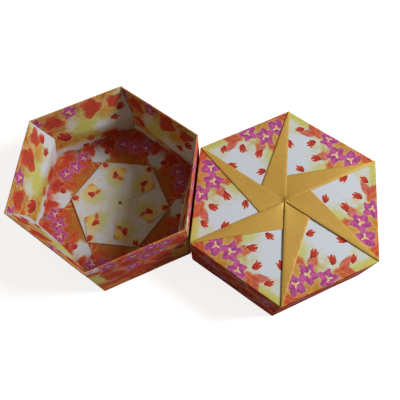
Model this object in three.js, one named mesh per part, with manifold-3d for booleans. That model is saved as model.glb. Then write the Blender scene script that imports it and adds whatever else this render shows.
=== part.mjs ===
// Hexagonal gift box folded from patterned paper: an open base and a lid that lifts off, set side by
// side as when the box is opened. Each of the two is woven from six equal folded sheets. A sheet's
// free ends slide into pockets of the next sheet, so the ring holds without glue.
// Millimetres, +Z up. The base stands at -X and the lid at +X, with a flat side facing each other.
import * as THREE from "three";
import { mergeVertices } from "three/addons/utils/BufferGeometryUtils.js";
import Module from "manifold-3d";

// Driving dimensions.
const LID_SIDE = 75;
const LID_DEPTH = 50;
const LID_HEM = 35;
const BASE_DEPTH = 64;
const LID_FIT = 0.45;
const PAPER = 0.25;
const PLAY = 0.3;
const CREASE = 0.8;
const TAB_REACH = 26;
const TAB_TAPER = 9;
const TIP_STANDOFF = 1.1;
const TUCK_REACH = 12;
const CENTRE_HOLE = 1.2;
const ROW_GAP = 1.4;
const ROW_OFFSET = 3.6;
const PLEAT_ANGLE = THREE.MathUtils.degToRad(15);
const STAR_NOTCH_SHARE = 0.87;
const SHEETS = 6;
const FOLD_STEPS = 6;

// The hexagon: half the angle of a sector, and the ratio of half a side to the apothem.
const SECTOR = (2 * Math.PI) / SHEETS;
const HALF_SECTOR = SECTOR / 2;
const SPREAD = Math.tan(HALF_SECTOR);

// A wall is three layers of paper: the outside, the neighbour's tab in the pocket, and the lining.
const LAYER_PITCH = PAPER + PLAY;
const WALL = PAPER + 2 * LAYER_PITCH;
const LID_APOTHEM = LID_SIDE / 2 / SPREAD;
const BASE_APOTHEM = LID_APOTHEM - WALL - LID_FIT;

const wasm = await Module();
wasm.setup();

// A closed geometry as a solid that can be joined and cut.
function solid(geometry) {
  const bare = geometry.index ? geometry.toNonIndexed() : geometry.clone();
  bare.deleteAttribute("normal");
  bare.deleteAttribute("uv");
  const merged = mergeVertices(bare);
  return new wasm.Manifold(
    new wasm.Mesh({
      numProp: 3,
      vertProperties: merged.attributes.position.array,
      triVerts: new Uint32Array(merged.index.array),
    }),
  );
}

// A solid as a geometry for a mesh.
function geometryOf(made) {
  const mesh = made.getMesh();
  const geometry = new THREE.BufferGeometry();
  geometry.setAttribute("position", new THREE.BufferAttribute(mesh.vertProperties, 3));
  geometry.setIndex(new THREE.BufferAttribute(mesh.triVerts, 1));
  const faceted = geometry.toNonIndexed();
  faceted.computeVertexNormals();
  return faceted;
}

const joined = (pieces) => pieces.reduce((whole, piece) => whole.add(piece));

// A point in plan at a radius and an angle from the middle of the box.
const polar = (radius, angle) => new THREE.Vector2(radius * Math.cos(angle), radius * Math.sin(angle));

const shapeOf = (points) => new THREE.Shape(points);

// A flat layer of paper: an outline in plan, from one height to another.
function layer(points, bottom, top) {
  const geometry = new THREE.ExtrudeGeometry(shapeOf(points), {
    depth: top - bottom,
    bevelEnabled: false,
  });
  return geometry.translate(0, 0, bottom);
}

// An upright layer that faces +X: an outline of (y, z) points, between two distances from the axis.
function uprightLayer(points, inner, outer) {
  const geometry = new THREE.ExtrudeGeometry(shapeOf(points), {
    depth: outer - inner,
    bevelEnabled: false,
  });
  return geometry.rotateX(Math.PI / 2).rotateZ(Math.PI / 2).translate(inner, 0, 0);
}

// A section of (x, z) points run along the side of the hexagon.
function sideRun(shape, length) {
  const geometry = new THREE.ExtrudeGeometry(shape, {
    depth: length,
    bevelEnabled: false,
    curveSegments: FOLD_STEPS,
  });
  return geometry.rotateX(Math.PI / 2).translate(0, length / 2, 0);
}

// An outline whose edges each move inwards by their own distance; edge i starts at point i.
function inset(points, distances) {
  const edges = points.map((from, i) => {
    const to = points[(i + 1) % points.length];
    const along = to.clone().sub(from).normalize();
    const inwards = new THREE.Vector2(-along.y, along.x);
    return { start: from.clone().addScaledVector(inwards, distances[i]), along };
  });
  return points.map((_, i) => {
    const before = edges[(i + points.length - 1) % points.length];
    const after = edges[i];
    const reach = after.start.clone().sub(before.start);
    const turn = before.along.cross(after.along);
    return before.start.clone().addScaledVector(before.along, reach.cross(after.along) / turn);
  });
}

// The sector of one sheet in plan, drawn in by half the play along both of its radial edges.
function sector(apothem) {
  const side = apothem / Math.cos(HALF_SECTOR);
  const corners = [new THREE.Vector2(), polar(side, -HALF_SECTOR), polar(side, HALF_SECTOR)];
  return inset(corners, [PLAY / 2, 0, PLAY / 2]);
}

// A band along a line from one point to another: it stops short of each end by a gap, and reaches
// from one distance to another on the line's left side.
function band(from, to, gap, right, left) {
  const along = to.clone().sub(from).normalize();
  const across = new THREE.Vector2(-along.y, along.x);
  const start = from.clone().addScaledVector(along, gap);
  const end = to.clone().addScaledVector(along, -gap);
  return [
    start.clone().addScaledVector(across, right),
    end.clone().addScaledVector(across, right),
    end.clone().addScaledVector(across, left),
    start.clone().addScaledVector(across, left),
  ];
}

// The neighbour's frame is this one turned by a sector.
const toNext = (geometry) => geometry.rotateZ(SECTOR);
const toPrevious = (geometry) => geometry.rotateZ(-SECTOR);

// A wall folded over at one long edge: the outside layer, a round fold and the lining. The fold is at
// foldHeight, the outside runs from there to outerEnd, and the lining to liningEnd.
function foldedWall(apothem, foldHeight, outerEnd, liningEnd) {
  const up = Math.sign(foldHeight - outerEnd);
  const bend = foldHeight - (up * WALL) / 2;
  const middle = apothem - WALL / 2;
  const section = new THREE.Shape();
  section.moveTo(apothem, outerEnd);
  section.lineTo(apothem, bend);
  section.absarc(middle, bend, WALL / 2, 0, up * Math.PI, up < 0);
  section.lineTo(apothem - WALL, liningEnd);
  section.lineTo(apothem - WALL + PAPER, liningEnd);
  section.lineTo(apothem - WALL + PAPER, bend);
  section.absarc(middle, bend, WALL / 2 - PAPER, up * Math.PI, 0, up > 0);
  section.lineTo(apothem - PAPER, outerEnd);
  const length = 2 * apothem * SPREAD;
  const mitre = layer(sector(apothem + WALL), -WALL, Math.max(foldHeight, outerEnd) + WALL);
  return solid(sideRun(section, length)).intersect(solid(mitre));
}

// The tab at a wall's far end: it steps inwards at the corner and lies in the neighbour's pocket.
function pocketTab(apothem, bottom, top) {
  const outer = apothem - LAYER_PITCH;
  const inner = outer - PAPER;
  const corner = inner * SPREAD;
  const root = [
    new THREE.Vector2(inner, corner - CREASE),
    new THREE.Vector2(apothem, corner - CREASE),
    new THREE.Vector2(apothem, apothem * SPREAD - PLAY),
    new THREE.Vector2(inner, corner),
  ];
  const start = -outer * SPREAD - PLAY;
  const end = start + TAB_REACH;
  const tongue = [
    new THREE.Vector2(start, bottom),
    new THREE.Vector2(end - TAB_TAPER, bottom),
    new THREE.Vector2(end, bottom + TAB_TAPER),
    new THREE.Vector2(end, top - TAB_TAPER),
    new THREE.Vector2(end - TAB_TAPER, top),
    new THREE.Vector2(start, top),
  ];
  return [solid(layer(root, bottom, top)), solid(toNext(uprightLayer(tongue, inner, outer)))];
}

// A flap that slips past the neighbour's panel along the radial edge, on the hidden side: the paper
// steps over at the edge and goes on as a long triangle at its own level.
function tuckedEdge(reach, stepBottom, stepTop, flapBottom) {
  const side = reach / Math.cos(HALF_SECTOR);
  const step = band(polar(side, HALF_SECTOR), new THREE.Vector2(), TUCK_REACH, PLAY / 2, CREASE);
  const tip = polar(reach / Math.cos(HALF_SECTOR - PLEAT_ANGLE), PLEAT_ANGLE - HALF_SECTOR);
  const near = polar(side - TUCK_REACH, -HALF_SECTOR);
  const flap = inset([polar(TUCK_REACH, -HALF_SECTOR), near, tip], [-PLAY, 0, 0]);
  return [
    solid(layer(step, stepBottom, stepTop)),
    solid(toNext(layer(flap, flapBottom, flapBottom + PAPER))),
  ];
}

// The lid's sheet. From the rim hem up: lining, outside wall, top panel, and the margin that folds
// back over the panel and shows the plain reverse of the paper.
function lidSheet() {
  const panelTop = LID_DEPTH - 2 * PAPER;
  const panelBottom = panelTop - PAPER;
  const tuckBottom = panelBottom - LAYER_PITCH;
  const tabTop = tuckBottom - PLAY;
  const corner = LID_APOTHEM / Math.cos(HALF_SECTOR);
  const pleatEnd = (corner * Math.sin(PLEAT_ANGLE)) / Math.sin(SECTOR + PLEAT_ANGLE);
  const pleat = inset(
    [new THREE.Vector2(), polar(corner, -HALF_SECTOR), polar(pleatEnd, HALF_SECTOR)],
    [PLAY / 2, 0, PLAY / 2],
  );
  return joined([
    foldedWall(LID_APOTHEM, 0, panelTop, LID_HEM),
    ...pocketTab(LID_APOTHEM, LAYER_PITCH, tabTop),
    solid(layer(sector(LID_APOTHEM), panelBottom, panelTop)),
    solid(layer(pleat, panelTop - PAPER / 2, LID_DEPTH)),
    ...tuckedEdge(LID_APOTHEM - LAYER_PITCH, tuckBottom, panelTop, tuckBottom),
  ]);
}

// The base's floor is a stack of layers, counted from the table up.
const floorBottom = (level) => level * LAYER_PITCH;
const floorTop = (level) => floorBottom(level) + PAPER;
const BOTTOM_PANEL = 0;
const BOTTOM_TUCK = 1;
const FLOOR_TUCK = 2;
const FLOOR_FLAP = 3;
const STAR_FLAP = 4;

// The corners of one sheet's part of the inside floor. The floor flap is a triangle on the wall, and
// its fold line runs from the wall's far corner past the star's two corners.
function floorPlan(apothem) {
  const corner = apothem / Math.cos(HALF_SECTOR);
  const star = (corner / 2) / Math.cos(HALF_SECTOR);
  return {
    near: polar(corner, -HALF_SECTOR),
    far: polar(corner, HALF_SECTOR),
    starFar: polar(star, 0),
    starNear: polar(star, -SECTOR),
  };
}

// The lining's flap on the inside floor. Along its fold line it slips under the next flap as far as
// the star, and there it rises to the star's level.
function floorFlap(apothem) {
  const plan = floorPlan(apothem);
  const flap = inset([plan.starNear, plan.near, plan.far], [PLAY / 2, 0, PLAY / 2]);
  const down = band(plan.far, plan.starFar, TUCK_REACH / 2, PLAY / 2, CREASE);
  const tuck = band(plan.far, plan.starFar, TUCK_REACH / 2, -TUCK_REACH, CREASE);
  const rise = band(plan.starFar, plan.starNear, CREASE, -PLAY, CREASE);
  return [
    solid(layer(flap, floorBottom(FLOOR_FLAP), floorTop(FLOOR_FLAP))),
    solid(layer(down, floorBottom(FLOOR_TUCK), floorTop(FLOOR_FLAP))),
    solid(layer(tuck, floorBottom(FLOOR_TUCK), floorTop(FLOOR_TUCK))),
    solid(layer(rise, floorBottom(FLOOR_FLAP), floorTop(STAR_FLAP))),
  ];
}

// The sheet's share of the raised hexagon in the middle of the floor, which ends in a cut edge.
function starFlap(apothem) {
  const plan = floorPlan(apothem);
  const notch = (STAR_NOTCH_SHARE * plan.far.length()) / 2;
  const outline = [
    polar(CENTRE_HOLE, -SECTOR),
    polar(notch, -HALF_SECTOR - SECTOR),
    plan.starNear,
    plan.starFar,
    polar(notch, -HALF_SECTOR),
  ];
  const drawn = inset(outline, [PLAY / 2, PLAY / 2, 0, PLAY / 2, PLAY / 2]);
  return solid(layer(drawn, floorBottom(STAR_FLAP), floorTop(STAR_FLAP)));
}

// The lining's free tip, which turns round the near corner and stands off the neighbour's lining.
function liningTip(apothem) {
  const outer = apothem - WALL - TIP_STANDOFF;
  const inner = outer - PAPER;
  const bottom = floorTop(STAR_FLAP) + PLAY;
  const top = BASE_DEPTH - WALL;
  const corner = inner * SPREAD;
  const root = [
    new THREE.Vector2(inner, -corner),
    new THREE.Vector2(apothem - WALL + PAPER, -(apothem - WALL + PAPER) * SPREAD + PLAY),
    new THREE.Vector2(apothem - WALL + PAPER, CREASE - corner),
    new THREE.Vector2(inner, CREASE - corner),
  ];
  const start = outer * SPREAD + PLAY;
  const tip = [
    new THREE.Vector2(start, bottom),
    new THREE.Vector2(start, top),
    new THREE.Vector2(start - (Math.tan(PLEAT_ANGLE) * (top - bottom)) / 2, (bottom + top) / 2),
  ];
  return [
    solid(layer(root, bottom, top)),
    solid(toPrevious(uprightLayer(tip, inner, outer))),
  ];
}

// The base's sheet. From the bottom: bottom panel, outside wall, rim fold, lining, floor flap and
// its share of the raised hexagon.
function baseSheet() {
  const inside = BASE_APOTHEM - WALL;
  return joined([
    foldedWall(BASE_APOTHEM, BASE_DEPTH, 0, floorBottom(FLOOR_FLAP)),
    ...pocketTab(BASE_APOTHEM, floorTop(BOTTOM_TUCK), BASE_DEPTH - WALL - PLAY),
    solid(layer(sector(BASE_APOTHEM), floorBottom(BOTTOM_PANEL), floorTop(BOTTOM_PANEL))),
    ...tuckedEdge(inside - PLAY, floorBottom(BOTTOM_PANEL), floorTop(BOTTOM_TUCK), floorBottom(BOTTOM_TUCK)),
    ...floorFlap(inside + PAPER),
    starFlap(inside + PAPER),
    ...liningTip(BASE_APOTHEM),
  ]);
}

// A ring of equal sheets, each turned a sector on from the last.
function ring(name, geometry, look) {
  const group = new THREE.Group();
  for (let i = 0; i < SHEETS; i += 1) {
    const mesh = new THREE.Mesh(geometry, new THREE.MeshStandardMaterial(look));
    mesh.name = `${name}_sheet_${i + 1}`;
    mesh.rotation.z = i * SECTOR;
    group.add(mesh);
  }
  return group;
}

const patternedPaper = { color: 0xc8763f, roughness: 0.45, metalness: 0 };
const patternedPaperWithGold = { color: 0xc69a42, roughness: 0.4, metalness: 0 };

const base = ring("base", geometryOf(baseSheet()), patternedPaper);
const lid = ring("lid", geometryOf(lidSheet()), patternedPaperWithGold);

// Base and lid stand on one surface, and the pair's box is centred on the origin.
const rowLength = 2 * BASE_APOTHEM + ROW_GAP + 2 * LID_APOTHEM;
base.position.x = BASE_APOTHEM - rowLength / 2;
lid.position.x = rowLength / 2 - LID_APOTHEM;
const baseCorner = BASE_APOTHEM / Math.cos(HALF_SECTOR);
const lidCorner = LID_APOTHEM / Math.cos(HALF_SECTOR);
const front = Math.min(-baseCorner, -lidCorner - ROW_OFFSET);
const back = Math.max(baseCorner, lidCorner - ROW_OFFSET);
base.position.y = -(front + back) / 2;
lid.position.y = base.position.y - ROW_OFFSET;

const box = new THREE.Group();
box.add(base, lid);

export default box;
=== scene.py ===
"""A hexagonal gift box folded from patterned paper, open, with its lid lying beside the base."""
import math

import bmesh
import bpy
from mathutils import Matrix, Vector, noise


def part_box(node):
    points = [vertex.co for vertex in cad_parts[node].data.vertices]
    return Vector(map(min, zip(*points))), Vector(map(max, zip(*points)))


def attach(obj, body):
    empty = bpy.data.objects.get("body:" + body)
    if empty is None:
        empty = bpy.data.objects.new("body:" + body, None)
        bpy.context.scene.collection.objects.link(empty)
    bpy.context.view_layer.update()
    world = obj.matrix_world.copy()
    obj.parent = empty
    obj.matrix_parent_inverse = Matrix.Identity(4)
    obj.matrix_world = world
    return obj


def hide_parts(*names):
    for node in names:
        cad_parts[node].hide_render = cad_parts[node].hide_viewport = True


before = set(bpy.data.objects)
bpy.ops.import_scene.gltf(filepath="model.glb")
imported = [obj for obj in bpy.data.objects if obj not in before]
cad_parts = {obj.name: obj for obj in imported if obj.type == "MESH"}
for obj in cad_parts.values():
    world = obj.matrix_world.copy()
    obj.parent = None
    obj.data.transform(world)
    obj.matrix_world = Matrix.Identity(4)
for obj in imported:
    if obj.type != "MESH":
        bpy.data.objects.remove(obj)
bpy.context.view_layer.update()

# The lid. Six equal sheets of thin gift wrap, printed with flowers in a watercolour manner on one
# side and plain matt gold on the other. Each is creased into a lining, a hem, a wall and a sixth of
# the top. Its free ends slip into the next sheet, which holds the ring together without glue.
MM = 0.001
PAPER = 0.25 * MM
PRINT_MAP = "print"
SHEETS = range(6)
SECTOR = math.radians(60)
HALF_SECTOR = SECTOR / 2
SPREAD = math.tan(HALF_SECTOR)
NEAR = 0.01 * MM
CELL = 2.5 * MM
UP = Vector((0, 0, 1))
ALONG_SIDE = Vector((0, 1, 0))
OUTWARDS = Vector((1, 0, 0))
EASE = 0.22 * MM
EASE_SEED = 5
EASE_SPAN = 28 * MM
EASE_FOOT = 8 * MM
FOLD_WIDTH = 1.25 * MM
CREASE = 0.5 * MM
SHARP_CREASE = math.radians(50)
PLEAT_ANGLE = math.radians(15)


def ring_box(name):
    """The lowest and highest corner of one ring of sheets."""
    boxes = [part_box(f"{name}_sheet_{i + 1}") for i in SHEETS]
    low = Vector(min(box[0][axis] for box in boxes) for axis in range(3))
    high = Vector(max(box[1][axis] for box in boxes) for axis in range(3))
    return low, high


def polar(radius, angle, height=0.0):
    """A point at a radius and an angle from the ring's axis."""
    return Vector((radius * math.cos(angle), radius * math.sin(angle), height))


def square_to(direction):
    """The direction a quarter turn to the left in plan."""
    return Vector((-direction.y, direction.x, 0)).normalized()


def begin_sheet(name, low, high):
    """A flat grid of paper between two corners, upright facing +X or lying facing up."""
    size = high - low
    upright = size.x < NEAR
    depth = size.z if upright else size.x
    bpy.ops.object.select_all(action="DESELECT")
    bpy.ops.mesh.primitive_grid_add(
        x_subdivisions=round(depth / CELL),
        y_subdivisions=round(size.y / CELL),
        size=1,
        location=(low + high) / 2,
        rotation=(0, math.pi / 2 if upright else 0, 0),
    )
    sheet = bpy.context.object
    sheet.name = name
    sheet.scale = (depth, size.y, 1)
    bpy.ops.object.transform_apply(location=True, rotation=True, scale=True)
    bpy.ops.object.mode_set(mode="EDIT")
    return sheet


def pick(sheet, kind, test):
    """Selects the edges or faces of a sheet that pass the test."""
    bpy.ops.mesh.select_mode(type=kind)
    bpy.ops.mesh.select_all(action="DESELECT")
    mesh = bmesh.from_edit_mesh(sheet.data)
    mesh.normal_update()
    for part in mesh.edges if kind == "EDGE" else mesh.faces:
        part.select_set(test(part))
    bmesh.update_edit_mesh(sheet.data)


def middle(part):
    """The middle of an edge or a face."""
    return sum((v.co for v in part.verts), Vector()) / len(part.verts)


def pick_open_edge(sheet, point, normal, test=lambda place: True):
    """Selects the open edges that lie in a plane and whose middles pass the test."""

    def on_plane(edge):
        close = all(abs((v.co - point).dot(normal)) < NEAR for v in edge.verts)
        return edge.is_boundary and close and test(middle(edge))

    pick(sheet, "EDGE", on_plane)


def run_on(step, rows):
    """Carries the selected edges on as new paper, in equal rows."""
    for _ in range(rows):
        bpy.ops.mesh.extrude_edges_move(TRANSFORM_OT_translate={"value": step / rows})


def fold(centre, axis, angle, steps):
    """Carries the selected edges round a crease."""
    bpy.ops.mesh.spin(steps=steps, angle=angle, center=centre, axis=axis)


def cut(sheet, test, point, normal, clear=True):
    """Cuts the paper whose places pass the test along a plane; what lies beyond it is dropped."""
    pick(sheet, "FACE", lambda face: test(middle(face)))
    bpy.ops.mesh.bisect(plane_co=point, plane_no=normal, threshold=NEAR / 10)
    if clear:
        beyond = lambda place: test(place) and (place - point).dot(normal) > 0
        pick(sheet, "FACE", lambda face: beyond(middle(face)))
        bpy.ops.mesh.delete(type="FACE")


def smooth_step(value, low, high):
    """Rises smoothly from 0 to 1 as the value goes from low to high."""
    share = min(max((value - low) / (high - low), 0), 1)
    return share * share * (3 - 2 * share)


def turned_corner(place, face):
    """A place on a wall's plane after the paper turns the corner at the wall's far end, to run on
    behind the next wall's face."""
    centre_x = face - TAB_CORNER
    centre_y = (centre_x - LAYER_PITCH - centre_x * math.cos(SECTOR)) / math.sin(SECTOR)
    past = place.y - centre_y
    if past <= 0:
        return place.copy()
    angle = min(past / TAB_CORNER, SECTOR)
    rest = past - TAB_CORNER * angle
    x = centre_x + TAB_CORNER * math.cos(angle) - rest * math.sin(angle)
    y = centre_y + TAB_CORNER * math.sin(angle) + rest * math.cos(angle)
    return Vector((x, y, place.z))


def turn_tab(place, face, half, top):
    """Moves a place on a wall's plane, so that the tab turns the corner into the next wall's pocket
    and leaves the rest of the wall's end at the corner."""
    lead = TAB_MARGIN / 2
    hold = smooth_step(place.z - TAB_FOOT, 0, lead) * smooth_step(top - place.z, 0, lead)
    place.xy = place.lerp(turned_corner(place, face), hold if place.y < half + NEAR else 1).xy


def lay_print(sheet, zone_of, places):
    """Gives every face its zone's material number, and its place on the flat printed sheet."""
    mesh = sheet.data
    print_map = mesh.uv_layers.new(name=PRINT_MAP)
    for face in mesh.polygons:
        zone = zone_of(face.center)
        face.material_index = list(places).index(zone)
        for corner in face.loop_indices:
            place = mesh.vertices[mesh.loops[corner].vertex_index].co
            print_map.data[corner].uv = places[zone](place)


def close_up(sheet, facing):
    """Merges doubled corners, and turns the printed side of the outermost face outwards."""
    bpy.ops.mesh.select_all(action="SELECT")
    bpy.ops.mesh.remove_doubles(threshold=NEAR)
    bpy.ops.mesh.delete_loose(use_verts=True, use_edges=True)
    bpy.ops.mesh.select_all(action="SELECT")
    bpy.ops.mesh.normals_make_consistent(inside=False)
    mesh = bmesh.from_edit_mesh(sheet.data)
    outermost = max(mesh.faces, key=lambda face: middle(face).dot(facing))
    if outermost.normal.dot(facing) < 0:
        bpy.ops.mesh.flip_normals()
    bpy.ops.object.mode_set(mode="OBJECT")


def thicken(sheet):
    """Gives the printed face its paper: the reverse behind it and the pale core at the edges."""
    printed_faces = len(sheet.data.polygons)
    wall = sheet.modifiers.new("paper", "SOLIDIFY")
    wall.thickness = PAPER
    wall.offset = -1
    bpy.ops.object.modifier_apply(modifier=wall.name)
    sheet.data.materials.append(reverse)
    sheet.data.materials.append(core)
    slots = len(sheet.data.materials)
    for face in sheet.data.polygons:
        if face.index >= 2 * printed_faces:
            face.material_index = slots - 1
        elif face.index >= printed_faces:
            face.material_index = slots - 2


def make_ring(name, sheet, middle_of_ring):
    """Six copies of a sheet round the ring, each eased a little out of true as hand-folded paper."""
    noise.seed_set(EASE_SEED)
    for i in SHEETS:
        piece = bpy.data.objects.new(f"{name}_paper_{i + 1}", sheet.data.copy())
        bpy.context.collection.objects.link(piece)
        place = Matrix.Translation(middle_of_ring) @ Matrix.Rotation(i * SECTOR, 4, "Z")
        piece.data.transform(place)
        for vertex in piece.data.vertices:
            drift = noise.noise_vector(vertex.co / EASE_SPAN) * EASE
            drift.z *= smooth_step(vertex.co.z, 0, EASE_FOOT) / 2
            vertex.co += drift
        bpy.ops.object.select_all(action="DESELECT")
        piece.select_set(True)
        bpy.context.view_layer.objects.active = piece
        bpy.ops.object.shade_smooth_by_angle(angle=SHARP_CREASE)
        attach(piece, name)
        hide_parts(f"{name}_sheet_{i + 1}")
    bpy.data.objects.remove(sheet)


lid_low, lid_high = ring_box("lid")
lid_middle = (lid_low + lid_high) / 2 * Vector((1, 1, 0))
lid_face = (lid_high.x - lid_low.x) / 2 - EASE
lid_half = lid_face * SPREAD
lid_side = 2 * lid_half
lid_depth = lid_high.z - lid_low.z
LID_TOP = lid_depth - 1.2 * MM
LID_LINING = 35 * MM
LID_HEM = FOLD_WIDTH / 2
TAB_REACH = 24 * MM
TAB_TAPER = 9 * MM
TAB_MARGIN = 6 * MM
TAB_FOOT = TAB_MARGIN / 2
TAB_CORNER = 1 * MM
TAB_CORNER_LINES = (1.2, 0.9, 0.6, 0.3, 0)
LAYER_PITCH = 0.55 * MM
PIN_HOLE = 0.25 * MM
PLEAT_FOLD = 0.15 * MM
PLEAT_ROLL = 0.1 * MM
PLEAT_ROLL_REACH = 4 * MM
PLEAT_RISE = 0.25 * MM
PLEAT_OVERHANG = 1 * MM
TOP_DROP = 1.3 * MM
RIM_DROP = 0.35 * MM
lid_tab_top = LID_TOP - TAB_MARGIN


def add_tab(sheet, face, half, top):
    """Trims the end of a wall into the tapered tab that goes in the next wall's pocket."""
    beyond = lambda place: place.y > half and place.x > face - NEAR
    cut(sheet, beyond, Vector((0, 0, TAB_FOOT)), -UP)
    cut(sheet, beyond, Vector((0, 0, top)), UP)
    for height, tilt in ((TAB_FOOT, -1), (top, 1)):
        end = Vector((0, half + TAB_REACH - TAB_TAPER, height))
        cut(sheet, beyond, end, Vector((0, 1, tilt)).normalized())
    at_root = lambda place: place.y < half + TAB_FOOT and place.x > face - NEAR
    for share in TAB_CORNER_LINES:
        cut(sheet, at_root, Vector((0, half - TAB_CORNER * share, 0)), ALONG_SIDE, clear=False)


def fold_lid_sheet():
    """One sheet of the lid, in the frame where its wall faces +X."""
    sheet = begin_sheet(
        "lid_sheet",
        Vector((lid_face, -lid_half, LID_HEM)),
        Vector((lid_face, lid_half + TAB_REACH, LID_TOP - CREASE)),
    )
    on_wall = lambda place: place.x > lid_face - NEAR
    cut(sheet, on_wall, Vector((0, lid_half, 0)), ALONG_SIDE, clear=False)
    on_side = lambda place: abs(place.y) < lid_half

    pick_open_edge(sheet, Vector((0, 0, LID_HEM)), UP, on_side)
    fold(Vector((lid_face - LID_HEM, 0, LID_HEM)), ALONG_SIDE, -math.pi, steps=6)
    run_on(UP * (LID_LINING - LID_HEM), rows=12)
    hemmed = lambda place: place.x < lid_face - NEAR or place.z < LID_HEM - NEAR
    for side in (1, -1):
        edge = square_to(polar(1, side * HALF_SECTOR)) * side
        cut(sheet, hemmed, Vector(), edge)

    crease_end = LID_TOP - CREASE
    wall_edge = lambda place: on_side(place) and on_wall(place)
    pick_open_edge(sheet, Vector((0, 0, crease_end)), UP, wall_edge)
    fold(Vector((lid_face - CREASE, 0, crease_end)), ALONG_SIDE, math.pi / 2, steps=4)
    run_on(Vector((PIN_HOLE - lid_face + CREASE, 0, 0)), rows=26)
    add_tab(sheet, lid_face, lid_half, lid_tab_top)

    # The top panel ends on its pleat's fold at one side, and past the next sheet's fold at the other.
    on_top = lambda place: place.z > crease_end + NEAR
    near_corner = polar(lid_side, -HALF_SECTOR, LID_TOP)
    far_corner = polar(lid_side, HALF_SECTOR, LID_TOP)
    fold_line = polar(1, -HALF_SECTOR)
    inwards = square_to(fold_line)
    cut(sheet, on_top, Vector(), -inwards)
    tuck_line = Matrix.Rotation(-PLEAT_ANGLE, 3, "Z") @ polar(1, HALF_SECTOR)
    cut(sheet, on_top, far_corner, square_to(tuck_line))

    # The pleat folds back over the panel, and its free edge is turned under.
    pick_open_edge(sheet, Vector(), inwards, lambda place: place.z > LID_TOP - NEAR)
    fold(Vector((0, 0, LID_TOP + PLEAT_FOLD)), fold_line, math.pi, steps=5)
    pleat_width = lid_side * math.sin(PLEAT_ANGLE)
    run_on(inwards * pleat_width, rows=9)
    pleat_level = LID_TOP + 2 * PLEAT_FOLD
    on_pleat = lambda place: place.z > pleat_level - NEAR
    free_line = Matrix.Rotation(-PLEAT_ANGLE, 3, "Z") @ fold_line
    free_side = square_to(free_line)
    cut(sheet, on_pleat, near_corner, free_side)
    far_side = square_to(polar(1, HALF_SECTOR))
    cut(sheet, on_pleat, far_side * PLEAT_OVERHANG, far_side)
    pick_open_edge(sheet, near_corner, free_side, on_pleat)
    fold(near_corner + UP * (2 * PLEAT_FOLD - PLEAT_ROLL), free_line, math.pi, steps=5)
    run_on(-free_side * PLEAT_ROLL_REACH, rows=2)
    on_roll = lambda place: abs(place.z - pleat_level + 2 * PLEAT_ROLL) < NEAR
    cut(sheet, on_roll, inwards * PLEAT_FOLD * 2, -inwards)
    close_up(sheet, OUTWARDS)
    return sheet


def lid_zone(place):
    """The part of the lid's print that a place belongs to."""
    if place.z > LID_TOP - CREASE and place.x < lid_face - NEAR:
        return "top"
    if place.x < lid_face - LID_HEM:
        return "lining"
    return "side"


def shape_lid_sheet(sheet):
    """Turns the tab round the corner, and lets the top ramp down under the next sheet's edge."""
    for vertex in sheet.data.vertices:
        place = vertex.co
        if place.z > LID_TOP + NEAR:
            corner = polar(lid_side, -HALF_SECTOR)
            reach = (place - corner) * Vector((1, 1, 0))
            width = max(reach.length, NEAR) * math.tan(PLEAT_ANGLE)
            across = place.dot(square_to(polar(1, -HALF_SECTOR)))
            place.z += PLEAT_RISE * min(across / width, 1)
        if place.x > lid_face - NEAR:
            turn_tab(place, lid_face, lid_half, lid_tab_top)
        angle = math.atan2(place.y, place.x)
        radius = math.hypot(place.x, place.y)
        drop = TOP_DROP + (RIM_DROP - TOP_DROP) * radius / lid_side
        ramp = (angle + HALF_SECTOR) / SECTOR
        place.z -= drop * ramp * smooth_step(place.z, lid_tab_top, LID_TOP - CREASE)


# The print. Washes and motifs are painted over a ground, each as an expression of nodes.
class Tone:
    """A value that varies over the paper. Sums and products of tones add Math nodes."""

    def __init__(self, finish, socket):
        self.finish = finish
        self.socket = socket

    def math(self, operation, *others):
        return self.finish.node("Math", dict(enumerate((self, *others))), operation=operation)

    def __add__(self, other):
        return self.math("ADD", other)

    __radd__ = __add__

    def __sub__(self, other):
        return self.math("SUBTRACT", other)

    def __rsub__(self, other):
        return self * -1 + other

    def __mul__(self, other):
        return self.math("MULTIPLY", other)

    __rmul__ = __mul__


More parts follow.
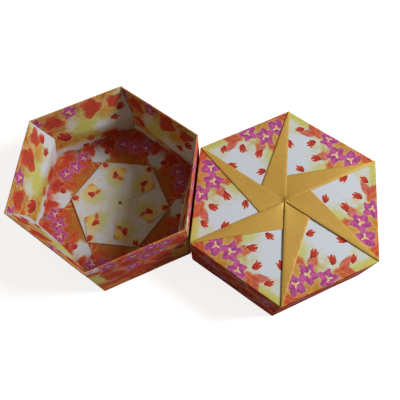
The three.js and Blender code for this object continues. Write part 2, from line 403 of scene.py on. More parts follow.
class Finish:
    """The node tree of one finish: of the paper, the studio's floor or the light around."""

    def __init__(self, owner):
        owner.use_nodes = True
        self.owner = owner
        self.tree = owner.node_tree
        self.tree.nodes.clear()

    def node(self, kind, values, output=0, **settings):
        """Adds a node with its settings and its sockets' values or links."""
        node = self.tree.nodes.new("ShaderNode" + kind)
        for name, setting in settings.items():
            setattr(node, name, setting)
        for name, value in values.items():
            if isinstance(value, Tone):
                self.tree.links.new(value.socket, node.inputs[name])
            else:
                node.inputs[name].default_value = value
        return Tone(self, node.outputs[output]) if node.outputs else None

    def step(self, value, low, high):
        """Rises smoothly from 0 to 1 as the value goes from low to high."""
        return self.node(
            "MapRange",
            {"Value": value, "From Min": low, "From Max": high},
            interpolation_type="SMOOTHSTEP",
        )

    def blend(self, share, below, above):
        """Lays one colour over another by a share from 0 to 1. A Mix node has its colours at 6 and 7."""
        return self.node("Mix", {0: share, 6: below, 7: above}, output=2, data_type="RGBA")

    def cloud(self, place, scale, detail=2.0, output=0):
        """Soft noise, as a number, or as three numbers where the output is Color."""
        return self.node("TexNoise", {"Vector": place, "Scale": scale, "Detail": detail}, output=output)

    def waver(self, place, scale, reach):
        """Shifts places by soft noise, so that an outline wanders as wet paint does."""
        noise_mean = (0.5, 0.5, 0.5)
        three = self.cloud(place, scale, output="Color")
        drift = self.node("VectorMath", {0: three, 1: noise_mean}, operation="SUBTRACT")
        shift = self.node("VectorMath", {0: drift, "Scale": reach}, operation="SCALE")
        return self.node("VectorMath", {0: place, 1: shift}, operation="ADD")

    def local(self, place, spot, turn, size):
        """Places in the frame of a motif at a spot, turned in degrees, where its size is 1."""
        return self.node(
            "Mapping",
            {
                "Vector": place,
                "Location": (*spot, 0),
                "Rotation": (0, 0, math.radians(turn)),
                "Scale": (*size, 1),
            },
            vector_type="TEXTURE",
        )

    def length(self, place):
        """How far a place is from the middle."""
        return self.node("VectorMath", {0: place}, output="Value", operation="LENGTH")

    def across(self, place, axis):
        """One of a place's three numbers."""
        return self.node("SeparateXYZ", {"Vector": place}, output=axis)

    def surface(self, colour, roughness, place, grain, depth, gloss=0.0, metallic=0.0):
        """The finished surface: its colour and roughness, and a fine tooth as bump."""
        tooth = self.cloud(place, grain, detail=4.0)
        bump = self.node("Bump", {"Height": tooth, "Distance": depth, "Strength": 0.5})
        shader = self.node(
            "BsdfPrincipled",
            {
                "Base Color": colour,
                "Roughness": roughness,
                "Metallic": metallic,
                "Specular IOR Level": gloss,
                "Normal": bump,
            },
        )
        self.node("OutputMaterial", {"Surface": shader})
        return self.owner


def ink(red, green, blue):
    """An sRGB colour, from 0 to 255 as it is seen, in the linear numbers that nodes take."""
    seen = [value / 255 for value in (red, green, blue)]
    linear = [s / 12.92 if s <= 0.04045 else ((s + 0.055) / 1.055) ** 2.4 for s in seen]
    return (*linear, 1.0)


WHITE = ink(210, 215, 224)
WARM_WHITE = ink(212, 214, 200)
CREAM = ink(236, 222, 186)
YELLOW = ink(228, 192, 104)
LIME = ink(200, 198, 106)
OCHRE = ink(206, 146, 54)
DEEP_OCHRE = ink(180, 108, 38)
ORANGE = ink(212, 104, 54)
RED = ink(192, 50, 38)
DEEP_RED = ink(130, 25, 25)
PURPLE = ink(164, 60, 130)
MAGENTA = ink(206, 84, 150)
VIOLET = ink(98, 34, 104)
DAB_REACH = 0.7
WASH_FULL = 0.8
WASH_GONE = 1.6
RIM_WIDTH = 0.3
BLEED = 0.02
BLOSSOM_PETALS = 5
BLOSSOM_STROKES = 3
POPPY_PETALS = 3


def washed(finish, place, dabs, below, patch):
    """A patch of wash over the ground, with an edge broken into brush dabs."""
    spot, size, turn, colour, strength = patch
    reach = finish.length(finish.local(place, spot, turn, size)) + dabs * DAB_REACH
    return finish.blend((1 - finish.step(reach, WASH_FULL, WASH_GONE)) * strength, below, colour)


def outlined(finish, depth, below, colour, halo, strength=1.0, soft=0.07):
    """A motif where its depth is above 0, with a pale rim where the wash held back."""
    rim = finish.step(depth, -RIM_WIDTH, -BLEED) * halo
    body = finish.step(depth, -BLEED, soft) * strength
    return finish.blend(body, finish.blend(rim, below, CREAM), colour)


def blossom(finish, place, below, spot, size, turn):
    """A five-petalled blossom, uneven as wet ink dries, with pale strokes in its middle."""
    own = finish.local(place, spot, turn, (size, size))
    reach = finish.length(own)
    angle = finish.across(own, 1).math("ARCTAN2", finish.across(own, 0))
    petal_angle = angle * (BLOSSOM_PETALS / 2)
    ridge = petal_angle.math("COSINE").math("ABSOLUTE")
    tip = petal_angle.math("SINE").math("ABSOLUTE")
    pools = finish.cloud(own, scale=1.9, detail=3.0)
    depth = 0.96 + ridge * 0.16 - tip * 0.2 - pools * 0.38 - reach
    petals = finish.blend(finish.step(pools, 0.4, 0.62), PURPLE, MAGENTA)
    petals = finish.blend((1 - finish.step(ridge, 0.1, 0.5)) * 0.4, petals, VIOLET)
    stroke_lines = (angle * (BLOSSOM_STROKES / 2)).math("COSINE").math("ABSOLUTE")
    near_heart = 1 - finish.step(reach + pools * 0.5, 0.45, 0.65)
    strokes = finish.step(stroke_lines, 0.86, 0.96) * near_heart
    petals = finish.blend(strokes, petals, CREAM)
    heart = 1 - finish.step(reach, 0.1, 0.18)
    return outlined(finish, depth, below, finish.blend(heart, petals, YELLOW), halo=0.15)


def bud(finish, place, below, spot, size, turn):
    """A red bud, round at its foot and open in three points."""
    own = finish.local(place, spot, turn, (size, size))
    side = finish.across(own, 0)
    along = finish.across(own, 1)
    belly = 1 - (side * side * 2.2 + along * along * 1.1)
    teeth = (side * 5.2).math("COSINE").math("ABSOLUTE") * 0.55 + 0.3 - along
    depth = (belly * 0.8).math("MINIMUM", teeth)
    strokes = finish.cloud(own, scale=3.2)
    petals = finish.blend(finish.step(strokes + along * 0.15, 0.2, 0.5), DEEP_RED, RED)
    petals = finish.blend(finish.step(strokes - depth * 0.3, 0.46, 0.66) * 0.7, petals, ORANGE)
    return outlined(finish, depth, below, petals, halo=0.4)


def leaf(finish, place, below, spot, size, turn):
    """A petal of thin wash, streaked orange and red along its length."""
    own = finish.local(place, spot, turn, (size * 0.6, size))
    along = finish.across(own, 1)
    drawn_out = finish.local(own, spot=(0, 0), turn=0, size=(0.35, 1.2))
    streaks = finish.cloud(drawn_out, scale=1.6, detail=3.0)
    depth = 1.15 - along * along - finish.across(own, 0).math("ABSOLUTE") - streaks * 0.4
    wash = finish.blend(finish.step(streaks, 0.36, 0.6), ORANGE, RED)
    return outlined(finish, depth, below, wash, halo=0.0, strength=0.9, soft=0.35)


def poppy(finish, place, below, spot, size, turn):
    """A large loose flower, red and orange, with a ragged edge."""
    own = finish.local(place, spot, turn, (size * 1.2, size))
    reach = finish.length(own)
    angle = finish.across(own, 1).math("ARCTAN2", finish.across(own, 0))
    lobes = (angle * (POPPY_PETALS / 2)).math("COSINE").math("ABSOLUTE")
    pools = finish.cloud(own, scale=1.5)
    depth = 1.2 + lobes * 0.3 - pools * 1.1 - reach
    wash = finish.blend(finish.step(reach + pools * 0.6, 0.75, 1.3), RED, ORANGE)
    wash = finish.blend((1 - finish.step(lobes + pools * 0.3, 0.2, 0.45)) * 0.6, wash, DEEP_RED)
    return outlined(finish, depth, below, wash, halo=0.15, strength=0.95, soft=0.16)


def printed(name, ground, patches, motifs):
    """The printed side of the paper: a ground, soft patches over it and the motifs on top."""
    finish = Finish(bpy.data.materials.new(name))
    place = finish.node("UVMap", {}, uv_map=PRINT_MAP)
    loose = finish.waver(finish.waver(place, scale=5.0, reach=0.18), scale=16.0, reach=0.07)
    firm = finish.waver(place, scale=16.0, reach=0.05)
    dabs = finish.cloud(place, scale=20.0, detail=1.0)
    slanting = finish.local(loose, spot=(0, 0), turn=35, size=(1, 0.5))
    strokes = finish.cloud(slanting, scale=10.0)
    pools = finish.cloud(loose, scale=7.0)
    light, deep = ground
    colour = finish.blend(finish.step(pools, 0.38, 0.64), light, deep)
    colour = finish.blend(finish.step(strokes, 0.52, 0.68) * 0.6, colour, YELLOW)
    for patch in patches:
        colour = washed(finish, loose, dabs, colour, patch)
    for motif, spot, size, turn in motifs:
        colour = motif(finish, firm, colour, spot, size, turn)
    grain = finish.cloud(place, scale=60.0, detail=3.0)
    colour = finish.blend(finish.step(grain, 0.35, 0.75) * 0.1, colour, CREAM)
    roughness = 0.5 + grain * 0.14
    return finish.surface(colour, roughness, place, grain=220.0, depth=0.05 * MM)


def gold_reverse():
    """The plain reverse of the paper, in matt gold ink."""
    finish = Finish(bpy.data.materials.new("gold_reverse"))
    place = finish.node("TexCoord", {}, output="Object")
    fibres = finish.cloud(place, scale=900.0, detail=4.0)
    shade = finish.cloud(place, scale=45.0, detail=3.0)
    colour = finish.blend(finish.step(shade, 0.3, 0.75), ink(204, 160, 70), ink(196, 151, 61))
    colour = finish.blend(finish.step(fibres, 0.4, 0.75) * 0.3, colour, ink(220, 182, 96))
    roughness = 0.42 + fibres * 0.16
    return finish.surface(
        colour, roughness, place, grain=2600.0, depth=0.04 * MM, gloss=0.35, metallic=0.15
    )


def paper_core():
    """The pale core of the paper, at its cut edges."""
    finish = Finish(bpy.data.materials.new("paper_core"))
    place = finish.node("TexCoord", {}, output="Object")
    fibres = finish.cloud(place, scale=1800.0, detail=3.0)
    colour = finish.blend(fibres, ink(236, 226, 204), ink(214, 200, 172))
    roughness = 0.75 + fibres * 0.1
    return finish.surface(colour, roughness, place, grain=3000.0, depth=0.03 * MM)


reverse = gold_reverse()
core = paper_core()

# The lid's sheet is folded flat and printed, and then bent to lie with its neighbours. A patch of
# wash has its middle and reach in sides of the hexagon, its turn, colour and strength. A motif has
# its middle, size and turn.
lid_sheet = fold_lid_sheet()
lay_print(lid_sheet, lid_zone, {
    "top": lambda p: (p.y / lid_side + 0.5, (lid_face - p.x + p.z - LID_TOP) / lid_side),
    "side": lambda p: (p.y / lid_side + 0.5, (p.z - LID_TOP - (lid_face - p.x)) / lid_side),
    "lining": lambda p: (p.y / lid_side + 0.5, (-LID_TOP - p.z) / lid_side),
})
LID_TOP_PATCHES = [
    ((0.22, 0.14), (0.3, 0.14), 0, OCHRE, 0.9),
    ((0.5, 0.1), (0.3, 0.14), 0, DEEP_OCHRE, 0.5),
    ((0.62, 0.46), (0.38, 0.44), 0, LIME, 0.75),
    ((0.76, 0.22), (0.29, 0.28), 20, LIME, 0.8),
    ((0.62, 0.5), (0.29, 0.36), 0, WHITE, 1.0),
    ((0.75, 0.24), (0.2, 0.2), 20, WHITE, 1.0),
    ((0.94, 0.05), (0.2, 0.14), 0, LIME, 0.9),
    ((0.88, 0.09), (0.08, 0.06), 30, WHITE, 0.7),
    ((0.42, 0.38), (0.1, 0.08), 30, LIME, 0.8),
    ((0.14, 0.02), (0.14, 0.06), 0, ORANGE, 0.6),
]
LID_TOP_MOTIFS = [
    (leaf, (0.1, 0.03), 0.1, 70),
    (leaf, (0.45, 0.24), 0.1, -50),
    (leaf, (0.34, 0.3), 0.09, 20),
    (leaf, (0.66, 0.04), 0.12, 70),
    (leaf, (0.71, 0.11), 0.09, -60),
    (blossom, (0.21, 0.12), 0.115, 12),
    (blossom, (0.36, 0.16), 0.115, 40),
    (blossom, (0.5, 0.05), 0.112, -15),
    (bud, (0.62, 0.19), 0.058, -25),
    (bud, (0.5, 0.31), 0.057, -60),
    (bud, (0.57, 0.49), 0.056, -100),
    (bud, (0.79, 0.32), 0.056, 60),
    (bud, (0.8, 0.12), 0.05, -30),
]
LID_SIDE_PATCHES = [
    ((0.9, -0.1), (0.3, 0.2), 0, ORANGE, 0.7),
]
LID_SIDE_MOTIFS = [
    (poppy, (0.12, -0.06), 0.14, 60),
    (poppy, (0.34, -0.12), 0.14, -40),
    (poppy, (0.76, -0.08), 0.15, 30),
    (blossom, (0.54, -0.03), 0.1, -15),
    (blossom, (0.2, -0.26), 0.1, 30),
    (poppy, (0.46, -0.28), 0.16, 80),
    (blossom, (0.86, -0.26), 0.1, 0),
    (poppy, (0.66, -0.4), 0.16, -70),
    (leaf, (0.08, -0.46), 0.16, 40),
    (blossom, (0.38, -0.5), 0.1, 10),
    (poppy, (0.88, -0.55), 0.16, -20),
]
LID_LINING_PATCHES = [
    ((0.5, -0.8), (0.3, 0.1), 0, OCHRE, 0.8),
]
LID_LINING_MOTIFS = [
    (bud, (0.3, -0.8), 0.1, 0),
    (leaf, (0.6, -0.85), 0.12, 60),
    (bud, (0.8, -0.75), 0.1, 120),
]
for print_name, ground, patches, motifs in (
    ("lid_top_print", (OCHRE, DEEP_OCHRE), LID_TOP_PATCHES, LID_TOP_MOTIFS),
    ("lid_side_print", (RED, DEEP_RED), LID_SIDE_PATCHES, LID_SIDE_MOTIFS),
    ("lid_lining_print", (WHITE, YELLOW), LID_LINING_PATCHES, LID_LINING_MOTIFS),
):
    lid_sheet.data.materials.append(printed(print_name, ground, patches, motifs))
shape_lid_sheet(lid_sheet)
thicken(lid_sheet)
make_ring("lid", lid_sheet, lid_middle)

# The base. Six more sheets of the same paper, each creased into a sixth of the underside, a wall, the
# fold at the rim, its lining, a flap of the inside floor and a sixth of the raised star. Flap, star
# and tab slip under the next sheet, and the lining's near end rests its tip on the last wall.
base_low, base_high = ring_box("base")
base_middle = (base_low + base_high) / 2 * Vector((1, 1, 0))
base_face = (base_high.x - base_low.x) / 2 - EASE
base_half = base_face * SPREAD
base_side = 2 * base_half
BASE_RIM = base_high.z - EASE
RIM_FOLD = FOLD_WIDTH / 2
lining_face = base_face - FOLD_WIDTH
lining_half = lining_face * SPREAD
lining_side = 2 * lining_half
UNDERSIDE = 0.02 * MM
FLOOR_LEVEL = 2.0 * MM
FLOOR_CREASE = 0.8 * MM
FLOOR_RAMP = 0.35 * MM
FLOOR_TUCK = 8 * MM
FLOOR_TUCK_SINK = 0.15 * MM
FLOOR_TUCK_RUN = 2 * MM
FLOOR_FOOT = 0.15
STAR_LEVEL = 3.5 * MM
STAR_DROP = 0.6 * MM
STAR_ROLL = 0.28 * MM
STAR_ROLL_REACH = 5 * MM
STAR_HOLE = 1.2 * MM
STAR_NOTCH_SHARE = 0.435
STAR_SPARE = 1 * MM
BOTTOM_TUCK = 10 * MM
BOTTOM_STEP = 0.35 * MM
BOTTOM_STEP_RUN = 1 * MM
TIP_MARGIN = 10 * MM
TIP_GAP = 0.35 * MM
TIP_STAND = 1.5 * MM
LINING_BOW = 1.6 * MM
LINING_HOLD = 0.05
lining_top = BASE_RIM - RIM_FOLD
base_tab_top = lining_top - 1 * MM
lining_bottom = FLOOR_LEVEL + FLOOR_CREASE
tip_height = (lining_top + lining_bottom) / 2
tip_reach = (lining_top - tip_height) * math.tan(PLEAT_ANGLE)
star_near = polar(lining_side / 2 / math.cos(HALF_SECTOR), -SECTOR)
star_far = polar(lining_side / 2 / math.cos(HALF_SECTOR), 0)


def fold_star():
    """One sheet's share of the raised star, with its outer edge rolled under."""
    star = begin_sheet(
        "star",
        Vector((0, -lining_half - STAR_SPARE, STAR_LEVEL)),
        Vector((star_far.x + STAR_SPARE, 0, STAR_LEVEL)),
    )
    everywhere = lambda place: True
    notch = polar(lining_side * STAR_NOTCH_SHARE, -HALF_SECTOR - SECTOR)
    outwards = polar(1, -HALF_SECTOR)
    cut(star, everywhere, notch, square_to(notch - star_near))
    cut(star, everywhere, star_far, outwards)
    inner_angle = -1.5 * HALF_SECTOR
    cut(star, everywhere, polar(STAR_HOLE, inner_angle), polar(-1, inner_angle))
    pick_open_edge(star, star_far, outwards)
    fold(star_far + UP * (STAR_LEVEL - STAR_ROLL), -square_to(outwards), math.pi, steps=6)
    run_on(outwards * -STAR_ROLL_REACH, rows=2)
    on_roll = lambda place: place.z < STAR_LEVEL - NEAR
    cut(star, on_roll, star_near, -polar(1, 0))
    close_up(star, UP)
    return star


def fold_base_sheet():
    """One sheet of the base, in the frame where its wall faces +X."""
    wall_foot = UNDERSIDE + CREASE
    sheet = begin_sheet(
        "base_sheet",
        Vector((base_face, -base_half - TIP_MARGIN, wall_foot)),
        Vector((base_face, base_half + TAB_REACH, lining_top)),
    )
    on_wall = lambda place: place.x > base_face - NEAR
    for end in (-base_half, base_half):
        cut(sheet, on_wall, Vector((0, end, 0)), ALONG_SIDE, clear=False)
    on_side = lambda place: abs(place.y) < base_half

    # The rim fold and the lining, whose near end runs on to a pointed tip.
    pick_open_edge(sheet, Vector((0, 0, lining_top)), UP, lambda place: place.y < base_half)
    fold(Vector((base_face - RIM_FOLD, 0, lining_top)), ALONG_SIDE, math.pi, steps=6)
    run_on(UP * (lining_bottom - lining_top), rows=24)
    cut(sheet, on_wall, Vector((0, -base_half, 0)), -ALONG_SIDE)
    on_rim = lambda place: place.z > lining_top + NEAR
    for side in (1, -1):
        cut(sheet, on_rim, Vector(), square_to(polar(1, side * HALF_SECTOR)) * side)
    on_lining = lambda place: abs(place.x - lining_face) < NEAR
    cut(sheet, on_lining, Vector((0, lining_half, 0)), ALONG_SIDE)
    for height in (lining_top, lining_bottom):
        rise = height - tip_height
        slope = Vector((0, -abs(rise), math.copysign(tip_reach, rise)))
        cut(sheet, on_lining, Vector((0, -lining_half, height)), slope.normalized())

    # The floor flap, which slips under the next flap and under the star.
    lining_edge = lambda place: on_lining(place) and on_side(place)
    pick_open_edge(sheet, Vector((0, 0, lining_bottom)), UP, lining_edge)
    fold(Vector((lining_face - FLOOR_CREASE, 0, lining_bottom)), ALONG_SIDE, -math.pi / 2, steps=4)
    floor_reach = lining_face - FLOOR_CREASE - star_near.x + FLOOR_TUCK / math.sin(SECTOR)
    run_on(Vector((-floor_reach, 0, 0)), rows=18)
    on_floor = lambda place: FLOOR_LEVEL / 2 < place.z < lining_bottom - NEAR
    beyond_floor = square_to(star_far - star_near)
    cut(sheet, on_floor, star_near + beyond_floor * FLOOR_TUCK, beyond_floor)

    # The underside, which lies over the next sheet's.
    wall_edge = lambda place: on_wall(place) and on_side(place)
    pick_open_edge(sheet, Vector((0, 0, wall_foot)), UP, wall_edge)
    fold(Vector((base_face - CREASE, 0, wall_foot)), ALONG_SIDE, -math.pi / 2, steps=4)
    run_on(Vector((CREASE - base_face, 0, 0)), rows=20)
    on_underside = lambda place: place.z < wall_foot and place.x < base_face - NEAR
    cut(sheet, on_underside, Vector(), -square_to(polar(1, -HALF_SECTOR)))
    radial = square_to(polar(1, HALF_SECTOR))
    cut(sheet, on_underside, radial * BOTTOM_TUCK, radial)
    for past in (0, BOTTOM_STEP_RUN / 2, BOTTOM_STEP_RUN):
        cut(sheet, on_underside, radial * past, radial, clear=False)
    add_tab(sheet, base_face, base_half, base_tab_top)
    close_up(sheet, OUTWARDS)

    star = fold_star()
    bpy.ops.object.select_all(action="DESELECT")
    star.select_set(True)
    sheet.select_set(True)
    bpy.context.view_layer.objects.active = sheet
    bpy.ops.object.join()
    return sheet


def base_zone(place):
    """The part of the base's print that a place belongs to."""
    if place.x < lining_face - 2 * FLOOR_CREASE and place.z > FLOOR_LEVEL + 2 * NEAR:
        return "star"
    if place.z < UNDERSIDE + CREASE and place.x < base_face - NEAR:
        return "bottom"
    if place.x < lining_face - NEAR:
        return "floor"
    return "lining" if place.x < base_face - RIM_FOLD else "side"


def slack_lining(place):
    """Where a place on the lining goes, as the lining's near end cuts across the corner to rest
    its tip on the last wall, and the fold at mid height stands off the wall."""
    climb = (place.z - lining_bottom) / (lining_top - lining_bottom)
    swell = 1 - abs(2 * climb - 1)
    near_end = -lining_half - tip_reach * swell
    along = (place.y - near_end) / (lining_half - near_end)
    last_wall = polar(1, -SECTOR)
    tip = polar(lining_half / math.sin(HALF_SECTOR), -HALF_SECTOR)
    tip -= square_to(last_wall) * tip_reach * swell
    tip -= last_wall * (TIP_GAP + TIP_STAND * swell)
    end = Vector((lining_face - TIP_GAP * swell, lining_half, 0))
    bow = OUTWARDS * LINING_BOW * swell * math.sin(math.pi * along)
    return tip.lerp(end, along) - bow


def shape_base_sheet(sheet):
    """Turns the tab round the corner, lets the lining stand slack, and ramps the floor, the star and
    the underside, so that each goes under the next sheet's or over it."""
    zones = {}
    for face in sheet.data.polygons:
        for index in face.vertices:
            zones.setdefault(index, set()).add(base_zone(face.center))
    for vertex in sheet.data.vertices:
        place = vertex.co
        zone = zones[vertex.index]
        if "star" in zone:
            angle = math.atan2(place.y, place.x)
            place.z -= STAR_DROP * (angle + math.pi / 2) / SECTOR
        elif "floor" in zone or "lining" in zone:
            around = place - star_near
            share = min(max(math.atan2(around.y, around.x) / SECTOR, 0), 1)
            past = max(around.dot(square_to(star_far - star_near)), 0)
            sink = FLOOR_RAMP * share + FLOOR_TUCK_SINK * smooth_step(past, 0, FLOOR_TUCK_RUN)
            climb = (place.z - lining_bottom) / (lining_top - lining_bottom)
            place.z -= sink * (1 - smooth_step(climb, 0, FLOOR_FOOT))
            if climb > 0 and abs(place.x - lining_face) < NEAR:
                hold = smooth_step(climb, 0, LINING_HOLD) * smooth_step(1 - climb, 0, LINING_HOLD)
                slack = slack_lining(place)
                place.xy = place.lerp(slack, hold if place.y > -lining_half - NEAR else 1).xy
        elif "bottom" in zone:
            past = place.dot(square_to(polar(1, HALF_SECTOR)))
            place.z += BOTTOM_STEP * smooth_step(past, 0, BOTTOM_STEP_RUN)
        elif place.x > base_face - NEAR:
            turn_tab(place, base_face, base_half, base_tab_top)


# The base's sheet, in the same order as the lid's.
base_sheet = fold_base_sheet()
inside_map = lambda p: (p.y / base_side + 0.5, (BASE_RIM - p.z + lining_face - p.x) / base_side)
outside_map = lambda p: (p.y / base_side + 0.5, (p.z - BASE_RIM - base_face + p.x) / base_side)
lay_print(base_sheet, base_zone, {
    "lining": inside_map,
    "floor": inside_map,
    "star": lambda p: (p.x / base_side, p.y / base_side),
    "side": outside_map,
    "bottom": outside_map,
})
LINING_PATCHES = [
    ((0.45, 0.36), (0.28, 0.24), 0, LIME, 1.0),
    ((0.1, 0.46), (0.24, 0.18), 20, WARM_WHITE, 0.9),
    ((0.0, 0.22), (0.14, 0.3), 0, LIME, 0.9),
    ((-0.02, 0.3), (0.13, 0.3), 0, WHITE, 1.0),
    ((0.62, 0.25), (0.1, 0.1), 20, WARM_WHITE, 0.9),
    ((0.28, 0.44), (0.12, 0.14), 30, WHITE, 0.9),
    ((0.2, 0.82), (0.34, 0.12), 0, DEEP_RED, 0.9),
    ((0.66, 0.72), (0.42, 0.11), 5, LIME, 0.9),
    ((0.72, 0.75), (0.38, 0.08), 0, WHITE, 1.0),
    ((0.0, 0.62), (0.14, 0.26), 0, WHITE, 0.9),
]
LINING_MOTIFS = [
    (poppy, (0.8, 0.15), 0.13, 150),
    (poppy, (0.36, 0.12), 0.14, 60),
    (poppy, (0.1, 0.12), 0.1, 200),
    (poppy, (0.26, 0.7), 0.13, 110),
    (leaf, (0.5, 0.64), 0.1, 170),
    (leaf, (0.92, 0.32), 0.1, 120),
    (leaf, (0.84, 0.8), 0.1, 80),
    (blossom, (0.98, 0.08), 0.1, 20),
    (blossom, (0.6, 0.07), 0.1, -10),
    (blossom, (0.46, 0.86), 0.1, 10),
    (bud, (0.04, 0.22), 0.065, 130),
    (bud, (0.12, 0.34), 0.06, 90),
    (bud, (0.76, 0.42), 0.12, 190),
    (bud, (0.6, 0.78), 0.06, 160),
]
FLOOR_PATCHES = [
    ((0.4, 0.88), (0.4, 0.09), 0, RED, 0.9),
    ((0.54, 1.06), (0.16, 0.13), 0, LIME, 0.9),
    ((0.52, 1.04), (0.13, 0.12), 0, WHITE, 1.0),
    ((0.85, 0.93), (0.3, 0.12), 30, DEEP_RED, 0.9),
    ((0.72, 0.99), (0.16, 0.1), 30, PURPLE, 0.7),
    ((0.14, 1.05), (0.2, 0.14), 30, RED, 0.9),
    ((0.28, 1.25), (0.17, 0.22), 20, DEEP_OCHRE, 0.9),
]
FLOOR_MOTIFS = [
    (poppy, (0.36, 0.94), 0.11, 80),
    (poppy, (0.6, 0.9), 0.1, 100),
    (poppy, (0.88, 0.9), 0.11, 60),
    (leaf, (0.34, 1.08), 0.1, 10),
    (leaf, (0.82, 1.02), 0.1, -30),
    (blossom, (0.7, 0.98), 0.1, 10),
    (blossom, (0.09, 1.1), 0.1, 30),
    (blossom, (0.2, 1.0), 0.1, -20),
    (leaf, (0.04, 1.21), 0.1, -20),
    (bud, (0.66, 1.04), 0.055, 200),
    (bud, (0.4, 1.0), 0.055, 120),
]
STAR_PATCHES = [
    ((0.07, -0.32), (0.17, 0.17), 0, LIME, 0.8),
    ((0.03, -0.37), (0.14, 0.1), 0, YELLOW, 0.9),
    ((0.0, -0.41), (0.07, 0.05), 0, OCHRE, 0.9),
    ((0.04, -0.04), (0.12, 0.12), 0, LIME, 0.5),
    ((0.27, -0.46), (0.14, 0.08), 0, YELLOW, 0.7),
]
STAR_MOTIFS = [
    (leaf, (0.05, -0.3), 0.06, 70),
    (bud, (0.11, -0.33), 0.05, 20),
    (bud, (0.25, -0.46), 0.05, 40),
]
BASE_SIDE_PATCHES = [
    ((0.92, -0.42), (0.22, 0.32), 0, OCHRE, 0.9),
    ((0.4, -0.6), (0.4, 0.16), 0, RED, 0.9),
    ((0.46, -0.2), (0.5, 0.22), 0, RED, 0.8),
    ((0.06, -0.34), (0.14, 0.26), 20, LIME, 0.9),
    ((0.04, -0.06), (0.16, 0.05), 0, WHITE, 0.8),
]
BASE_SIDE_MOTIFS = [
    (poppy, (0.2, -0.24), 0.14, 80),
    (poppy, (0.4, -0.22), 0.14, 60),
    (blossom, (0.64, -0.06), 0.1, 15),
    (poppy, (0.9, -0.2), 0.14, 80),
    (blossom, (0.22, -0.08), 0.1, 10),
    (blossom, (0.46, -0.1), 0.1, 40),
    (blossom, (0.78, -0.1), 0.1, 70),
    (leaf, (0.06, -0.12), 0.1, 50),
    (blossom, (0.58, -0.26), 0.1, 20),
    (blossom, (0.72, -0.28), 0.09, 5),
    (poppy, (0.2, -0.42), 0.15, 120),
    (blossom, (0.4, -0.4), 0.1, 30),
    (poppy, (0.7, -0.46), 0.15, 60),
    (bud, (0.9, -0.44), 0.08, 180),
    (leaf, (0.44, -0.66), 0.16, 90),
]
BOTTOM_PATCHES = [
    ((0.5, -1.0), (0.4, 0.12), 0, OCHRE, 0.9),
]
BOTTOM_MOTIFS = [
    (blossom, (0.3, -1.0), 0.1, 0),
    (blossom, (0.62, -1.06), 0.1, 30),
    (leaf, (0.45, -1.1), 0.12, 60),
    (bud, (0.5, -1.3), 0.12, 0),
]
for print_name, ground, patches, motifs in (
    ("base_lining_print", (OCHRE, DEEP_OCHRE), LINING_PATCHES, LINING_MOTIFS),
    ("base_floor_print", (DEEP_OCHRE, RED), FLOOR_PATCHES, FLOOR_MOTIFS),
    ("base_star_print", (WHITE, WHITE), STAR_PATCHES, STAR_MOTIFS),
    ("base_side_print", (ORANGE, RED), BASE_SIDE_PATCHES, BASE_SIDE_MOTIFS),
    ("base_bottom_print", (WHITE, YELLOW), BOTTOM_PATCHES, BOTTOM_MOTIFS),
):
    base_sheet.data.materials.append(printed(print_name, ground, patches, motifs))
shape_base_sheet(base_sheet)
thicken(base_sheet)
make_ring("base", base_sheet, base_middle)

# The studio. A plain white floor, one soft lamp high on the right, weak warm light from all round,
# and the camera above the front. Seen straight on or in a gloss the floor glows, so that it is white
# and keeps a shadow. The glow grows to full white away from the box, where the floor has no edge.
DULL_GREY = (0.45, 0.45, 0.45, 1)
PALE_GREY = (0.5, 0.5, 0.5, 1)
GLOW = (0.82, 0.82, 0.82, 1)
WHITE_LIGHT = (1, 1, 1, 1)
GLOW_NEAR = 400 * MM
GLOW_FAR = 1400 * MM
FLOOR_SIZE = 6000 * MM
floor_finish = Finish(bpy.data.materials.new("studio_floor"))
seen = floor_finish.node("LightPath", {}, output="Is Camera Ray")
for kind in ("Is Glossy Ray", "Is Transmission Ray"):
    seen = seen.math("MAXIMUM", floor_finish.node("LightPath", {}, output=kind))
dull = floor_finish.node("BsdfDiffuse", {"Color": DULL_GREY})
reach = floor_finish.length(floor_finish.node("TexCoord", {}, output="Object"))
far = floor_finish.step(reach, GLOW_NEAR, GLOW_FAR)
glow = floor_finish.node("Emission", {"Color": floor_finish.blend(far, GLOW, WHITE_LIGHT)})
pale = floor_finish.node("BsdfDiffuse", {"Color": PALE_GREY})
bright = floor_finish.node("AddShader", {0: glow, 1: pale})
floor_shader = floor_finish.node("MixShader", {0: seen, 1: dull, 2: bright})
floor_finish.node("OutputMaterial", {"Surface": floor_shader})
bpy.ops.mesh.primitive_plane_add(size=FLOOR_SIZE)
studio_floor = bpy.context.object
studio_floor.name = "studio_floor"
studio_floor.data.materials.append(floor_finish.owner)

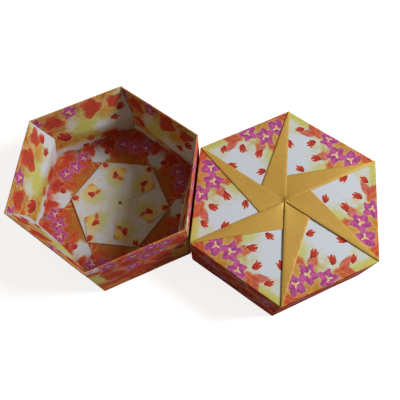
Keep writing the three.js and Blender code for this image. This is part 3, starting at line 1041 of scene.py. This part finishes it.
FILL_COLOUR = (1.0, 0.86, 0.7, 1)
FILL_STRENGTH = 0.16
world = bpy.data.worlds.new("studio")
bpy.context.scene.world = world
sky = Finish(world)
around = sky.node("Background", {"Color": FILL_COLOUR, "Strength": FILL_STRENGTH})
behind = sky.node("Background", {"Color": WHITE_LIGHT})
backdrop = sky.node("LightPath", {}, output="Is Camera Ray")
sky_shader = sky.node("MixShader", {0: backdrop, 1: around, 2: behind})
sky.node("OutputWorld", {"Surface": sky_shader})

LAMP_AZIMUTH = math.radians(8)
LAMP_HEIGHT = math.radians(43)
LAMP_DISTANCE = 1000 * MM
LAMP_SIZE = 300 * MM
LAMP_POWER = 9.0
LAMP_COLOUR = (0.93, 0.97, 1.0)
lamp_direction = Vector((
    math.cos(LAMP_HEIGHT) * math.cos(LAMP_AZIMUTH),
    math.cos(LAMP_HEIGHT) * math.sin(LAMP_AZIMUTH),
    math.sin(LAMP_HEIGHT),
))
lamp_data = bpy.data.lights.new("soft_lamp", "AREA")
lamp_data.shape = "DISK"
lamp_data.size = LAMP_SIZE
lamp_data.energy = LAMP_POWER
lamp_data.color = LAMP_COLOUR
lamp = bpy.data.objects.new("soft_lamp", lamp_data)
lamp.location = lamp_direction * LAMP_DISTANCE
lamp.rotation_euler = lamp_direction.to_track_quat("Z", "Y").to_euler()
bpy.context.collection.objects.link(lamp)

CAMERA_PLACE = Vector((22.5, -119.8, 350.5)) * MM
CAMERA_TURNS = (9.686, 20.999, -3.949)
SENSOR = 36.0
FOCAL_LENGTH = 40.49
CLIP_START = 10 * MM
camera_data = bpy.data.cameras.new("camera")
camera_data.sensor_width = SENSOR
camera_data.lens = FOCAL_LENGTH
camera_data.clip_start = CLIP_START
camera = bpy.data.objects.new("camera", camera_data)
swing, lean, roll = (math.radians(turn) for turn in CAMERA_TURNS)
aim = Matrix.Rotation(swing, 4, "Z") @ Matrix.Rotation(lean, 4, "X") @ Matrix.Rotation(roll, 4, "Z")
camera.matrix_world = Matrix.Translation(CAMERA_PLACE) @ aim
bpy.context.collection.objects.link(camera)
bpy.context.scene.camera = camera
bpy.context.scene.view_settings.view_transform = "Standard"
